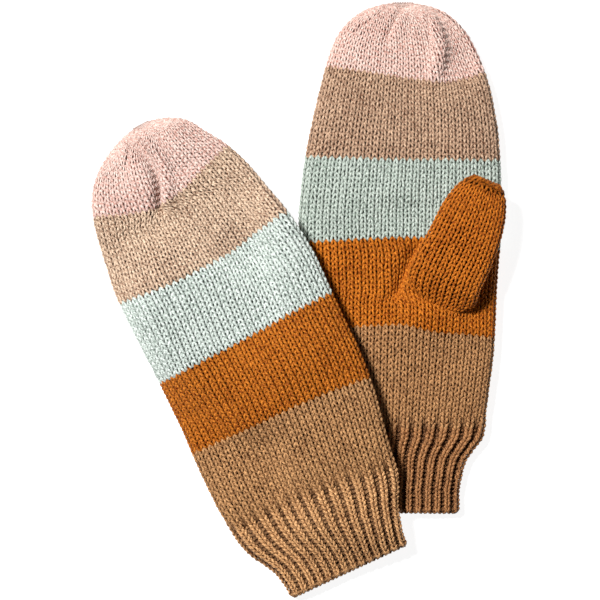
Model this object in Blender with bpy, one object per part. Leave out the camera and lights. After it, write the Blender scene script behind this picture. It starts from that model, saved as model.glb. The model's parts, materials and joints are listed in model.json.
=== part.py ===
"""A pair of striped knitted mittens, laid flat: the right-hand mitten palm up on the ground, the left-hand one
back up, resting partly on it. Units in the script are millimetres; the scene is in metres, +Z up, +Y towards the
fingertips of the right mitten. The origin is on the ground, under the middle of the pair.

Each mitten is worked from five lengths of yarn, so it comes apart into a gathered crown, three colour bands, a wrist
band and a ribbed cuff, with its cast-on edge, a separate thumb, and the yarns that close and join them."""

import math

import bmesh
import bpy
import numpy as np
from mathutils import Matrix, Vector

MM = 0.001

# ---------------------------------------------------------------- driving dimensions, mm
GAP = 0.3            # clearance between pieces that are knitted or sewn together
WALL = 2.6           # thickness of the knit
HAND_T = 16.0        # thickness of the hand, lying flat, right mitten
LEFT_T = 15.0        # and left mitten
PRESS = 0.15         # how far the left mitten flattens the right one under it
EDGE_N = 4.5         # squareness of the cross-section across its width
EDGE_M = 2.2         # and through its thickness
RIBS = 28            # ribs round the cuff, one knit and one purl stitch each
RIB_DEPTH = 1.1
EDGE_CORD_R = 1.1    # cast-on edge of the cuff
SEAM_R = 0.8         # sewing yarn
SIDES = 30           # corners round a band
THUMB_SIDES = 20
THUMB_WALL = 2.2
MOUTH_A, MOUTH_B = 17.5, 9.5   # thumb hole, half its width across and along the thumb
THUMB_B = 19.0       # half the thumb's width
CLEAR = 1.0          # air between things that only rest on each other
THUMB_AIR = 1.5      # and between a thumb and the palm it is folded over
DRAPE = 18.0         # how far knit bridges over a step

# Distance from the cuff's edge, and the left and right edge from the mitten's own line.
RIGHT_OUTLINE = ((0, -39.0, 31.7), (11, -39.0, 31.7), (21.5, -39.5, 33.3), (29, -42.5, 35.5), (37, -46.3, 41.0),
                 (42, -47.8, 44.2), (58, -49.0, 46.3), (89, -50.4, 50.0), (120, -51.5, 51.5), (151, -52.0, 53.5),
                 (172, -50.5, 53.5), (193, -47.3, 52.5), (214, -42.6, 49.4), (234.5, -37.4, 43.7),
                 (245, -33.8, 39.0), (255.5, -26.5, 31.2), (260.5, -19.8, 24.4), (265.3, 2.5, 2.5))
LEFT_OUTLINE = ((0, -32.2, 34.8), (5, -32.2, 34.8), (16.5, -34.0, 37.0), (24.5, -38.0, 39.7), (32, -42.1, 43.6),
                (39, -44.2, 46.2), (51, -45.8, 48.4), (63.5, -46.8, 50.4), (80.5, -46.8, 53.5), (108.5, -45.8, 55.6),
                (132, -45.8, 55.6), (155, -46.3, 56.1), (178.5, -46.8, 53.8), (200, -44.5, 48.9), (216.5, -42.0, 44.5),
                (229.5, -38.2, 39.0), (240, -31.7, 31.7), (247.5, -22.9, 25.7), (252.2, -14.0, 17.5),
                (255.8, 2.5, 2.5))
THICKNESS = ((0, 0.68), (20, 0.70), (43, 0.80), (62, 0.95), (100, 1.0), (210, 1.0), (266, 0.97))


# ---------------------------------------------------------------- small maths
def smoothstep(v):
    v = np.clip(v, 0.0, 1.0)
    return v * v * (3 - 2 * v)


def steady_curve(xs, ys):
    """A smooth curve through the points that never overshoots them."""
    xs, ys = np.array(xs, float), np.array(ys, float)
    h = np.diff(xs)
    d = np.diff(ys) / h
    m = np.zeros(len(xs))
    m[0], m[-1] = d[0], d[-1]
    for i in range(1, len(xs) - 1):
        if d[i - 1] * d[i] > 0:
            w1, w2 = 2 * h[i] + h[i - 1], h[i] + 2 * h[i - 1]
            m[i] = (w1 + w2) / (w1 / d[i - 1] + w2 / d[i])

    def at(x):
        x = np.clip(x, xs[0], xs[-1])
        i = np.clip(np.searchsorted(xs, x) - 1, 0, len(h) - 1)
        t = (x - xs[i]) / h[i]
        return (ys[i] * (1 + 2 * t) * (1 - t) ** 2 + h[i] * m[i] * t * (1 - t) ** 2
                + ys[i + 1] * t * t * (3 - 2 * t) + h[i] * m[i + 1] * t * t * (t - 1))

    return at


class Mitten:
    """The shape of one mitten's hand: an outline, a thickness, and how it lies on what is under it."""

    def __init__(self, outline, origin, turn_deg, thickness, under=None):
        self.tip = outline[-1][0]
        self.origin = origin
        self.cos, self.sin = math.cos(math.radians(turn_deg)), math.sin(math.radians(turn_deg))
        # Measured from the tip by the square root of the distance, the outline stays smooth round the tip.
        roots = [math.sqrt(self.tip - s) for s, _, _ in outline][::-1]
        self._left = steady_curve(roots, [l for _, l, _ in outline][::-1])
        self._right = steady_curve(roots, [r for _, _, r in outline][::-1])
        self._thick = steady_curve([s for s, _ in THICKNESS], [k * thickness for _, k in THICKNESS])
        self.over = None      # the mitten that lies on this one
        self.under = under    # height of what this one lies on, at a place

    def world(self, t, s):
        return (self.origin[0] + t * self.cos - s * self.sin, self.origin[1] + t * self.sin + s * self.cos)

    def local(self, x, y):
        dx, dy = x - self.origin[0], y - self.origin[1]
        return dx * self.cos + dy * self.sin, -dx * self.sin + dy * self.cos

    def edges(self, s, inset=0.0):
        """Left edge, right edge and thickness at s; inset moves all of them inwards by a wall."""
        q = np.sqrt(np.maximum(self.tip - inset - s, 0.0))
        soft = 1 - np.exp(-q / 1.2)
        return (self._left(q) + inset * soft, self._right(q) - inset * soft,
                self._thick(s) * (1 - np.exp(-q / 2.2)) - 2 * inset * soft)

    def pressed(self, x, y):
        if self.over is None:
            return 1.0
        t, s = self.over.local(x, y)
        left, right, _ = self.over.edges(np.clip(s, 0, self.over.tip))
        deep = np.minimum(np.minimum(right - t, t - left), s + 6)
        return 1 - PRESS * smoothstep((deep + 3) / 18.0)

    def rest_height(self, x, y):
        return self.under(x, y) if self.under else 0.0

    def point(self, angle, s, inset=0.0, groove=0.0):
        """A point of the cross-section at s, in world millimetres. Angle 0 is the right edge, 90 the upper side."""
        left, right, thick = self.edges(s, inset)
        c, a = (left + right) / 2, (right - left) / 2
        ca, sa = math.cos(angle), math.sin(angle)
        t = c + a * math.copysign(abs(ca) ** (2 / EDGE_N), ca)
        x, y = self.world(t, s)
        squash = self.pressed(x, y)
        full = (thick + 2 * inset) * squash - 2 * inset
        if inset == 0.0:
            full = thick * squash
        up = abs(sa) ** (2 / EDGE_M)
        if sa < 0:      # the underside is flat where it rests
            up = -min(1.0, 1.12 * up)
        z = inset + full / 2 * (1 + up)
        if groove:
            t -= groove * ca * abs(ca)
            z -= groove * sa * abs(sa) * (1.0 if abs(sa) > 0.3 else 0.5)
            x, y = self.world(t, s)
        return (x, y, z + self.rest_height(x, y))

    def top(self, x, y):
        """Height of the upper face at a place, 0 outside the mitten."""
        t, s = self.local(x, y)
        inside = (s > 0) & (s < self.tip)
        left, right, thick = self.edges(np.clip(s, 0, self.tip - 1e-6))
        c, a = (left + right) / 2, np.maximum((right - left) / 2, 1e-6)
        tau = np.clip(np.abs(t - c) / a, 0, 1)
        inside = inside & (np.abs(t - c) < a)
        z = thick * self.pressed(x, y) / 2 * (1 + (1 - tau ** EDGE_N) ** (1 / EDGE_M))
        return np.where(inside, z, 0.0)


class Drape:
    """A height map over the ground, for cloth that bridges softly over what is under it."""

    def __init__(self, obstacle, low=(-130.0, -180.0), high=(130.0, 180.0), step=2.0, reach=DRAPE):
        self.low, self.step = low, step
        xs = np.arange(low[0], high[0] + step, step)
        ys = np.arange(low[1], high[1] + step, step)
        gx, gy = np.meshgrid(xs, ys, indexing="ij")
        h = obstacle(gx, gy)
        # Raise everything to its highest neighbour, then average twice over half the reach: never below the obstacle.
        h = self.around(h, reach, np.max)
        for _ in range(2):
            h = self.around(h, reach / 2, np.mean)
        self.h = h

    def around(self, h, radius, how):
        k = int(radius / self.step)
        near = [(i, j) for i in range(-k, k + 1) for j in range(-k, k + 1) if i * i + j * j <= (radius / self.step) ** 2]
        pad = np.pad(h, k, mode="edge")
        n, m = h.shape
        return how([pad[k + i:k + i + n, k + j:k + j + m] for i, j in near], axis=0)

    def __call__(self, x, y):
        fx, fy = (np.asarray(x) - self.low[0]) / self.step, (np.asarray(y) - self.low[1]) / self.step
        i = np.clip(np.floor(fx).astype(int), 0, self.h.shape[0] - 2)
        j = np.clip(np.floor(fy).astype(int), 0, self.h.shape[1] - 2)
        u, v = np.clip(fx - i, 0, 1), np.clip(fy - j, 0, 1)
        return (self.h[i, j] * (1 - u) * (1 - v) + self.h[i + 1, j] * u * (1 - v)
                + self.h[i, j + 1] * (1 - u) * v + self.h[i + 1, j + 1] * u * v)


class Thumb:
    """A thumb folded flat along the palm. d runs along it from its heel, w across it, and h away from the palm."""

    def __init__(self, heel, direction_deg, length, thick, surface, side):
        self.heel, self.length, self.thick, self.surface, self.side = heel, length, thick, surface, side
        a = math.radians(direction_deg)
        self.along = (-math.sin(a), math.cos(a))
        self.across = (math.cos(a), math.sin(a))
        self.bend = 2.6     # radius inside the crotch
        self.pivot = 2 * MOUTH_B + self.bend

    def world(self, d, w, h):
        x = self.heel[0] + d * self.along[0] + w * self.across[0]
        y = self.heel[1] + d * self.along[1] + w * self.across[1]
        return (x, y, float(self.surface(x, y)) + self.side * (THUMB_AIR + h))

    def plan(self, x, y):
        dx, dy = x - self.heel[0], y - self.heel[1]
        return dx * self.along[0] + dy * self.along[1], dx * self.across[0] + dy * self.across[1]

    def width(self, d, inset=0.0):
        q = np.sqrt(np.maximum(self.length - inset - d, 0.0))
        soft = 1 - np.exp(-q / 1.0)
        b = MOUTH_A + (THUMB_B - MOUTH_A) * smoothstep((d - 12) / 22.0)
        # towards the tip the sides come in, then round off
        b = b * (1 - 0.14 * smoothstep((d - 0.5 * self.length) / (0.5 * self.length)))
        return b * (1 - np.exp(-(q / 2.2) ** 1.3)) - inset * soft

    def height(self, d, inset=0.0):
        q = np.sqrt(np.maximum(self.length - inset - d, 0.0))
        return self.thick * (1 - np.exp(-q / 1.7)) - 2 * inset * (1 - np.exp(-q / 1.0))

    def footprint(self, x, y):
        """How tall the thumb stands over a place."""
        d, w = self.plan(x, y)
        b = np.maximum(self.width(np.clip(d, 0, self.length)), 1e-6)
        inside = (d > -1) & (d < self.length) & (np.abs(w) < b)
        tall = self.bend + self.height(np.clip(d, 0, self.length)) + THUMB_AIR
        return np.where(inside, tall * (1 - (np.abs(w) / b).clip(0, 1) ** 3) ** 0.5, 0.0)

    def ring(self, station, inset=0.0):
        """Corners of a section. Stations 0 to 1 turn the elbow from the mouth, and those past 1 are distances d."""
        out = []
        for k in range(THUMB_SIDES):
            f = 2 * math.pi * k / THUMB_SIDES
            cf, sf = math.cos(f), math.sin(f)
            across = math.copysign(abs(cf) ** (2 / 2.6), cf)
            lift = math.copysign(abs(sf) ** (2 / 2.3), sf)
            if station <= 1:
                turn = math.pi / 2 * station
                reach = 2 * MOUTH_B + (self.height(self.pivot) - 2 * MOUTH_B) * smoothstep(station)
                mid, half = self.bend + reach / 2, reach / 2 - inset
                r = mid + half * lift
                out.append(self.world(self.pivot - r * math.cos(turn), (MOUTH_A - inset) * across, r * math.sin(turn)))
            else:
                half = self.height(station, inset) / 2
                mid = self.bend + self.height(self.pivot) / 2
                mid -= (self.height(self.pivot) - self.height(station)) / 2 * 0.6
                out.append(self.world(station, self.width(station, inset) * across, mid + half * lift))
        return out


# ---------------------------------------------------------------- Blender helpers
def collection(name, hidden=False):
    made = bpy.data.collections.new(name)
    bpy.context.scene.collection.children.link(made)
    made.hide_render = hidden
    return made


def material(name, colour, rough=0.9):
    m = bpy.data.materials.new(name)
    m.use_nodes = True
    p = m.node_tree.nodes["Principled BSDF"]
    p.inputs["Base Color"].default_value = (*colour, 1)
    p.inputs["Roughness"].default_value = rough
    p.inputs["Metallic"].default_value = 0.0
    p.inputs["Sheen Weight"].default_value = 0.3
    return m


def loft(name, rings, mat, group, poles=None, origin=None):
    """A closed skin over sections with equal numbers of corners. With no poles the last section joins the first;
    with poles the skin closes on a point at each end."""
    bm = bmesh.new()
    rows = [[bm.verts.new(Vector(p) * MM) for p in ring] for ring in rings]
    n = len(rows[0])
    pairs = list(zip(rows, rows[1:])) + ([] if poles else [(rows[-1], rows[0])])
    for a, b in pairs:
        for k in range(n):
            bm.faces.new((a[k], a[(k + 1) % n], b[(k + 1) % n], b[k]))
    if poles:
        for row, pole in ((rows[0], poles[0]), (rows[-1], poles[1])):
            v = bm.verts.new(Vector(pole) * MM)
            for k in range(n):
                bm.faces.new((row[k], row[(k + 1) % n], v))
    bmesh.ops.recalc_face_normals(bm, faces=bm.faces)
    return finish_mesh(name, bm, mat, group, origin)


def finish_mesh(name, bm, mat, group, origin=None):
    mesh = bpy.data.meshes.new(name)
    bm.to_mesh(mesh)
    bm.free()
    mesh.shade_smooth()
    mesh.set_sharp_from_angle(angle=math.radians(60))
    mesh.materials.append(mat)
    obj = bpy.data.objects.new(name, mesh)
    group.objects.link(obj)
    if origin is not None:      # a moving piece turns about its own origin
        shift = Vector(origin) * MM
        mesh.transform(Matrix.Translation(-shift))
        obj.location = shift
    return obj


def cord(name, points, radius, mat, group, closed=True, sides_res=1):
    """A round yarn along a path."""
    data = bpy.data.curves.new(name, "CURVE")
    data.dimensions = "3D"
    data.bevel_depth = radius * MM
    data.bevel_resolution = sides_res
    data.use_fill_caps = not closed
    spline = data.splines.new("POLY")
    spline.points.add(len(points) - 1)
    for p, q in zip(spline.points, points):
        p.co = (*(Vector(q) * MM), 1)
    spline.use_cyclic_u = closed
    data.materials.append(mat)
    obj = bpy.data.objects.new(name, data)
    group.objects.link(obj)
    return obj


def spread(lo, hi, n):
    return [lo + (hi - lo) * i / n for i in range(n + 1)]


def angles(n):
    """Turns that put n corners at equal distances round a flat cross-section."""
    dense = np.linspace(0, 2 * math.pi, 2881)
    c, d = np.cos(dense), np.sin(dense)
    x = 50 * np.sign(c) * np.abs(c) ** (2 / EDGE_N)
    z = HAND_T / 2 * np.sign(d) * np.abs(d) ** (2 / EDGE_M)
    run = np.concatenate([[0], np.cumsum(np.hypot(np.diff(x), np.diff(z)))])
    return [float(np.interp(run[-1] * (k + 0.5) / n, run, dense)) for k in range(n)]


def band(name, mitten, s0, s1, mat, group, steps=3, origin=None):
    outer = [[mitten.point(a, s) for a in angles(SIDES)] for s in spread(s0 + GAP / 2, s1 - GAP / 2, steps)]
    inner = [[mitten.point(a, s, WALL) for a in angles(SIDES)] for s in spread(s1 - GAP / 2, s0 + GAP / 2, steps)]
    return loft(name, outer + inner, mat, group, origin=origin)


def crown(name, mitten, s0, mat, group, origin=None):
    tip, inner_tip = mitten.tip, mitten.tip - WALL
    base = s0 + GAP / 2
    roots = spread(math.sqrt(tip - base), 0.9, 7)
    outer = [[mitten.point(a, tip - q * q) for a in angles(SIDES)] for q in roots]
    roots = spread(math.sqrt(inner_tip - base), 1.1, 6)
    inner = [[mitten.point(a, inner_tip - q * q, WALL) for a in angles(SIDES)] for q in roots]
    left, right, _ = mitten.edges(tip - 1e-6)
    tops = [np.mean([p[2] for p in outer[-1]]), np.mean([p[2] for p in inner[-1]])]
    x, y = mitten.world((left + right) / 2, tip)
    xi, yi = mitten.world((left + right) / 2, inner_tip - 0.2)
    return loft(name, inner[::-1] + outer, mat, group, poles=((xi, yi, tops[1]), (x, y, tops[0])), origin=origin)


def ribbed_cuff(name, mitten, s0, s1, mat, group, origin=None):
    n = 2 * RIBS
    turns = angles(n)
    outer = [[mitten.point(a, s, 0.0, RIB_DEPTH * (k % 2)) for k, a in enumerate(turns)] for s in spread(s0, s1 - GAP / 2, 3)]
    inner = [[mitten.point(a, s, WALL) for a in turns] for s in spread(s1 - GAP / 2, s0, 3)]
    return loft(name, outer + inner, mat, group, origin=origin)


def thumb_tube(name, thumb, mat, group, origin=None):
    bend = [0, 0.25, 0.5, 0.75, 1.0]
    far = thumb.length
    straight = spread(thumb.pivot + 1.5, 0.78 * far, 3)
    tip = [far - q * q for q in spread(math.sqrt(0.22 * far), 0.7, 4)][1:]
    outer = [thumb.ring(s) for s in bend + straight + tip]
    inner_far = far - THUMB_WALL
    tip_in = [inner_far - q * q for q in spread(math.sqrt(inner_far - 0.78 * far), 0.9, 3)][1:]
    inner = [thumb.ring(s, THUMB_WALL) for s in bend + straight + tip_in]
    mid_out = thumb.world(far, 0, np.mean([thumb.bend + thumb.height(thumb.pivot) * 0.35]))
    last = np.mean(np.array(outer[-1]), axis=0)
    last_in = np.mean(np.array(inner[-1]), axis=0)
    out_pole = (mid_out[0], mid_out[1], last[2])
    ix, iy, _ = thumb.world(inner_far - 0.1, 0, 0)
    return loft(name, inner[::-1] + outer, mat, group, poles=((ix, iy, last_in[2]), out_pole), origin=origin)


def cut(target, cutter):
    m = target.modifiers.new("opening", "BOOLEAN")
    m.operation = "DIFFERENCE"
    m.solver = "EXACT"
    m.object = cutter


# ---------------------------------------------------------------- build
for old in list(bpy.data.objects):
    bpy.data.objects.remove(old)

PARTS = collection("knitted_mittens")
CUTTERS = collection("cutters", hidden=True)
PINK = material("pink_yarn", (0.83, 0.57, 0.48))
ROSE = material("rose_beige_yarn", (0.60, 0.42, 0.30))
MINT = material("mint_yarn", (0.60, 0.66, 0.60))
MUSTARD = material("mustard_yarn", (0.52, 0.17, 0.022))
CAMEL = material("camel_yarn", (0.45, 0.245, 0.11))

right = Mitten(RIGHT_OUTLINE, (51.93, -110.64), 0.0, HAND_T)
left = Mitten(LEFT_OUTLINE, (25.43, -141.64), 25.5, LEFT_T)
right.over = left

# Colour changes, measured from the cuff's edge: cuff, wrist band, thumb band, middle band, upper band, crown.
RIGHT_STRIPES = (2.4, 43.7, 95.2, 139.4, 182.0, 222.5)
LEFT_STRIPES = (2.4, 43.2, 89.0, 133.0, 178.9, 219.0)

# The left thumb lies under its own palm, partly on the edge of the right mitten, and the left palm lies on both.
on_right = Drape(lambda x, y: right.top(x, y), reach=6.0)
left_heel = left.world(10.5, 106.0)
left_thumb = Thumb(left_heel, 51.5, 74.0, 8.2, None, -1)
left.under = Drape(lambda x, y: np.maximum(np.where(right.top(x, y) > 0, right.top(x, y) + CLEAR, 0.0),
                                           np.where(left_thumb.footprint(x, y) > 0,
                                                    on_right(x, y) + left_thumb.footprint(x, y) + CLEAR, 0.0)))
left_thumb.surface = left.under

# The right thumb lies on its own palm, pointing out over the right edge.
right_heel = right.world(17.0, 100.5)
palm = Drape(lambda x, y: np.maximum(right.top(x, y), 0.0), reach=7.0)
right_thumb = Thumb(right_heel, -21.5, 79.2, 11.5, palm, 1)


def hinge_height(mitten, s, side):
    """The highest (side 1) or lowest (side -1) point of a section, where its hinge line runs."""
    z = [mitten.point(a, s)[2] for a in angles(SIDES)]
    return max(z) if side > 0 else min(z)


def build(side, mitten, thumb, stripes, palm_up):
    edge, wrist, thumb_at, middle, upper, top = stripes
    name = lambda part: f"{side}_{part}"
    curl_z = hinge_height(mitten, upper, 1 if palm_up else -1)
    curl = (*mitten.world(0, upper), curl_z)
    bend = (*mitten.world(0, wrist), hinge_height(mitten, wrist, -1 if palm_up else 1))
    heel = thumb.world(0, 0, 0)

    crown(name("crown"), mitten, top, PINK, PARTS, origin=curl)
    band(name("rose_band"), mitten, upper, top, ROSE, PARTS, origin=curl)
    band(name("mint_band"), mitten, middle, upper, MINT, PARTS)
    holed = band(name("mustard_band"), mitten, thumb_at, middle, MUSTARD, PARTS, steps=5)
    band(name("camel_band"), mitten, wrist, thumb_at, CAMEL, PARTS)
    ribbed_cuff(name("ribbed_cuff"), mitten, edge, wrist, CAMEL, PARTS, origin=bend)
    rim = [mitten.point(a, EDGE_CORD_R, WALL / 2) for a in angles(36)]
    cord(name("cuff_edge"), rim, EDGE_CORD_R, CAMEL, PARTS)
    thumb_tube(name("thumb"), thumb, MUSTARD, PARTS, origin=heel)

    # the seam across the thumb's tip
    at = thumb.length - 4.0
    arc = []
    for k in range(9):
        w = (k / 4 - 1) * 0.72
        h = thumb.bend + thumb.height(thumb.pivot) * 0.5 - (thumb.height(thumb.pivot) - thumb.height(at)) * 0.3
        h += thumb.height(at) / 2 * (1 - abs(w) ** 2.6) ** (1 / 2.3) + SEAM_R + GAP
        arc.append(thumb.world(at, w * thumb.width(at), h))
    cord(name("thumb_tip_seam"), arc, SEAM_R, MUSTARD, PARTS, closed=False)

    # the seam that joins the thumb, inside the hand round the thumb hole
    ring = []
    for k in range(24):
        f = 2 * math.pi * k / 24
        x, y, _ = thumb.world(MOUTH_B + (MOUTH_B + 1.3) * math.sin(f), (MOUTH_A + 1.3) * math.cos(f), 0)
        t, s = mitten.local(x, y)
        l, r, thick = mitten.edges(s, WALL)
        full = (thick + 2 * WALL) * mitten.pressed(x, y) - 2 * WALL
        tau = min(abs(t - (l + r) / 2) / ((r - l) / 2), 1.0)
        inner_top = WALL + full / 2 * (1 + (1 - tau ** EDGE_N) ** (1 / EDGE_M))
        low = mitten.rest_height(x, y)
        z = low + inner_top - GAP - SEAM_R - 0.4 if palm_up else low + WALL + GAP + SEAM_R + 0.4
        ring.append((x, y, float(z)))
    cord(name("thumb_base_seam"), ring, SEAM_R, MUSTARD, PARTS)

    # the drawn-up yarn that closes the crown, inside its tip
    t, s = (7.5, mitten.tip - 11.0)
    x, y = mitten.world(t, s)
    l, r, thick = mitten.edges(s, WALL)
    z = WALL + thick + float(mitten.rest_height(x, y)) - GAP - 0.9 - 0.8
    loop = [(x + 2.6 * math.cos(2 * math.pi * k / 14), y + 2.6 * math.sin(2 * math.pi * k / 14), z) for k in range(14)]
    cord(name("crown_gather"), loop, 0.9, PINK, PARTS)

    # the thumb hole through the palm side of the mustard band
    mouth = thumb.world(MOUTH_B, 0, 0)
    bpy.ops.mesh.primitive_cylinder_add(vertices=20, radius=1.0, depth=1.0)
    cutter = bpy.context.object
    cutter.name = name("thumb_hole_cutter")
    for c in list(cutter.users_collection):
        c.objects.unlink(cutter)
    CUTTERS.objects.link(cutter)
    deep = 14.0
    cutter.data.transform(Matrix.Diagonal(((MOUTH_A - 0.6) * MM, (MOUTH_B - 0.6) * MM, deep * MM, 1)))
    cutter.rotation_euler = (0, 0, math.atan2(thumb.across[1], thumb.across[0]))
    mid = mitten.local(mouth[0], mouth[1])
    thick = float(mitten.edges(mid[1])[2])
    low = float(mitten.rest_height(mouth[0], mouth[1]))
    z = low + thick / 2 + deep / 2 if palm_up else low + thick / 2 - deep / 2
    cutter.location = Vector((mouth[0], mouth[1], z)) * MM
    cutter.hide_render = True
    cutter.display_type = "WIRE"
    cut(holed, cutter)


build("right", right, right_thumb, RIGHT_STRIPES, True)
build("left", left, left_thumb, LEFT_STRIPES, False)
bpy.context.view_layer.update()
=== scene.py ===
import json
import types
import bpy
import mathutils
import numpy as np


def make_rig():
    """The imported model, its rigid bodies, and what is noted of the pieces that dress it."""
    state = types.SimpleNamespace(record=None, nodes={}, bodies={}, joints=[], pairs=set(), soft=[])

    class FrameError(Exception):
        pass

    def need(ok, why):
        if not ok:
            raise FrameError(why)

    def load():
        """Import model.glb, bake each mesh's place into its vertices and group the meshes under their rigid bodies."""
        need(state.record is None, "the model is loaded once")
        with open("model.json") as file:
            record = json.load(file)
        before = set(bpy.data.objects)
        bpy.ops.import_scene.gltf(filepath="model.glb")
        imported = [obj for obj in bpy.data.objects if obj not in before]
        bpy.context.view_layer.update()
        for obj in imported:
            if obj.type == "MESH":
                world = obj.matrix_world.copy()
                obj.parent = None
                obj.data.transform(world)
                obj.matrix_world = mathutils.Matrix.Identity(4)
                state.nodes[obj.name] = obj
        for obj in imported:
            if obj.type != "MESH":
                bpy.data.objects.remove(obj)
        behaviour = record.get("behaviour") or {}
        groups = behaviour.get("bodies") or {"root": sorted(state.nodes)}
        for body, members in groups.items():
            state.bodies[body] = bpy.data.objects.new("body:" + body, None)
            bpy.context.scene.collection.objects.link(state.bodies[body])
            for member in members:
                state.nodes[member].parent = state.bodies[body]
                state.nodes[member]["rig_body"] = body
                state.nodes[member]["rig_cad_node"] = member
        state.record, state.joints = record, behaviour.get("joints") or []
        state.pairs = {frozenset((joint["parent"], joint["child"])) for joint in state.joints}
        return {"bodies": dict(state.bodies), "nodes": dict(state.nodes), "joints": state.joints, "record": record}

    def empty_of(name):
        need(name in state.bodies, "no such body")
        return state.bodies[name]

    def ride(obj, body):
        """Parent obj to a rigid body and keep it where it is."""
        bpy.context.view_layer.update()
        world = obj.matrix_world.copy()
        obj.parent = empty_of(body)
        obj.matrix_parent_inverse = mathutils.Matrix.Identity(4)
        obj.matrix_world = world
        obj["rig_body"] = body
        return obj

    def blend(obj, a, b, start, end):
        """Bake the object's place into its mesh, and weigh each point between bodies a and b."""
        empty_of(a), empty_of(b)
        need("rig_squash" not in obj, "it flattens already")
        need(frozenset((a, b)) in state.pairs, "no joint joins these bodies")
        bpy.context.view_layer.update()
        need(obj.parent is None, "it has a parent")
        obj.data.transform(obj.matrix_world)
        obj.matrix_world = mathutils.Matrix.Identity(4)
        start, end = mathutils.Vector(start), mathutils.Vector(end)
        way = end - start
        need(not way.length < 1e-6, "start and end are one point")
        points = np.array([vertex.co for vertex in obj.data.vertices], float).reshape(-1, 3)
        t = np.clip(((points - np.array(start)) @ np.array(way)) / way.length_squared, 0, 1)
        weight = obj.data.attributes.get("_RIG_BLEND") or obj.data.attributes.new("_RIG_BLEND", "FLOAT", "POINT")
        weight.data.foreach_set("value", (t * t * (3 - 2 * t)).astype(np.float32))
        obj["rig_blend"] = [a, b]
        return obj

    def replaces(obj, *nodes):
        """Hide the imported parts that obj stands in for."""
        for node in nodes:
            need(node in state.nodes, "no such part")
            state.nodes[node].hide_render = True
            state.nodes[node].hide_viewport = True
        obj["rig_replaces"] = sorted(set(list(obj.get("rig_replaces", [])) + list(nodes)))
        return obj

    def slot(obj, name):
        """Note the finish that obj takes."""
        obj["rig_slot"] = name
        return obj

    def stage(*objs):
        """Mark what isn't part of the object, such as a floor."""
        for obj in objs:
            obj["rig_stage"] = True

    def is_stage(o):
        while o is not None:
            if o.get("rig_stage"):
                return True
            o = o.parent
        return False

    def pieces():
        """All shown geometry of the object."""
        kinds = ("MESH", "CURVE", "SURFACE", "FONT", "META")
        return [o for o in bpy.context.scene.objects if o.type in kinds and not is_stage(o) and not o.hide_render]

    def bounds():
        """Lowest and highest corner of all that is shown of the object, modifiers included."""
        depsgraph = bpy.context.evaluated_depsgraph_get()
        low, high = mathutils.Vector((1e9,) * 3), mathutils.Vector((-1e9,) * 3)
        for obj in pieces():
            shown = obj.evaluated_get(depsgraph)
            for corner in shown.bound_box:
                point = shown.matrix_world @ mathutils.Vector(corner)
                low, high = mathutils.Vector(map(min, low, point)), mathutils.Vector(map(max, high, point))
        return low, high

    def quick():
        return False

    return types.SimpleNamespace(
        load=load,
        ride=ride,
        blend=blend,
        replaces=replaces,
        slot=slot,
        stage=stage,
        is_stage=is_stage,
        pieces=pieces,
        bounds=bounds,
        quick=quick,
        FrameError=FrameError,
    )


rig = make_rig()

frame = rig.load()
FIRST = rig.bounds()

import json
import math

import bpy
import numpy as np

# A pair of striped knitted mittens. The cloth is made of its yarn: every row of stitches is one looped yarn, laid over
# the shape of the mitten. Lengths in this script are millimetres until a mesh is made.
MM = 0.001
rng = np.random.default_rng(7)
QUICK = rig.quick()

# ---------------------------------------------------------------- gauge, mm
WALES = 56           # stitches round the hand
ROW = 2.8            # height of a row
LOOP_SWAY = 0.225    # sideways swing of a loop, in stitch widths
LOOP_CLOSE = -0.02   # how far a stitch's two legs lean together; negative leans them apart
LOOP_RISE = 0.96     # half height of a loop, in rows
LOOP_DEPTH = 1.0     # in and out
YARN = 0.73          # radius
THUMB_WALES, THUMB_ROW = 20, 2.66
RIB_STEP = 0.95      # how far knit ribs stand out from the purl gutters
INSET = 1.6          # middle of the knit, under its outer face
BACK = 0.75          # depth of the inner face behind the middle
STEPS = 10 if QUICK else 12
ROUND = 5 if QUICK else 6

# ---------------------------------------------------------------- shape of the hands, as in the solid model
HAND_T, LEFT_T, PRESS = 16.0, 15.0, 0.15
EDGE_N, EDGE_M = 4.5, 2.2
MOUTH_A, MOUTH_B, THUMB_B = 17.5, 9.5, 19.0
CLEAR, THUMB_AIR, DRAPE = 1.0, 1.5, 18.0
RIGHT_OUTLINE = ((0, -39.0, 31.7), (11, -39.0, 31.7), (21.5, -39.5, 33.3), (29, -42.5, 35.5), (37, -46.3, 41.0),
                 (42, -47.8, 44.2), (58, -49.0, 46.3), (89, -50.4, 50.0), (120, -51.5, 51.5), (151, -52.0, 53.5),
                 (172, -50.5, 53.5), (193, -47.3, 52.5), (214, -42.6, 49.4), (234.5, -37.4, 43.7),
                 (245, -33.8, 39.0), (255.5, -26.5, 31.2), (260.5, -19.8, 24.4), (265.3, 2.5, 2.5))
LEFT_OUTLINE = ((0, -32.2, 34.8), (5, -32.2, 34.8), (16.5, -34.0, 37.0), (24.5, -38.0, 39.7), (32, -42.1, 43.6),
                (39, -44.2, 46.2), (51, -45.8, 48.4), (63.5, -46.8, 50.4), (80.5, -46.8, 53.5), (108.5, -45.8, 55.6),
                (132, -45.8, 55.6), (155, -46.3, 56.1), (178.5, -46.8, 53.8), (200, -44.5, 48.9), (216.5, -42.0, 44.5),
                (229.5, -38.2, 39.0), (240, -31.7, 31.7), (247.5, -22.9, 25.7), (252.2, -14.0, 17.5),
                (255.8, 2.5, 2.5))
THICKNESS = ((0, 0.68), (20, 0.70), (43, 0.80), (62, 0.95), (100, 1.0), (210, 1.0), (266, 0.97))
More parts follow.
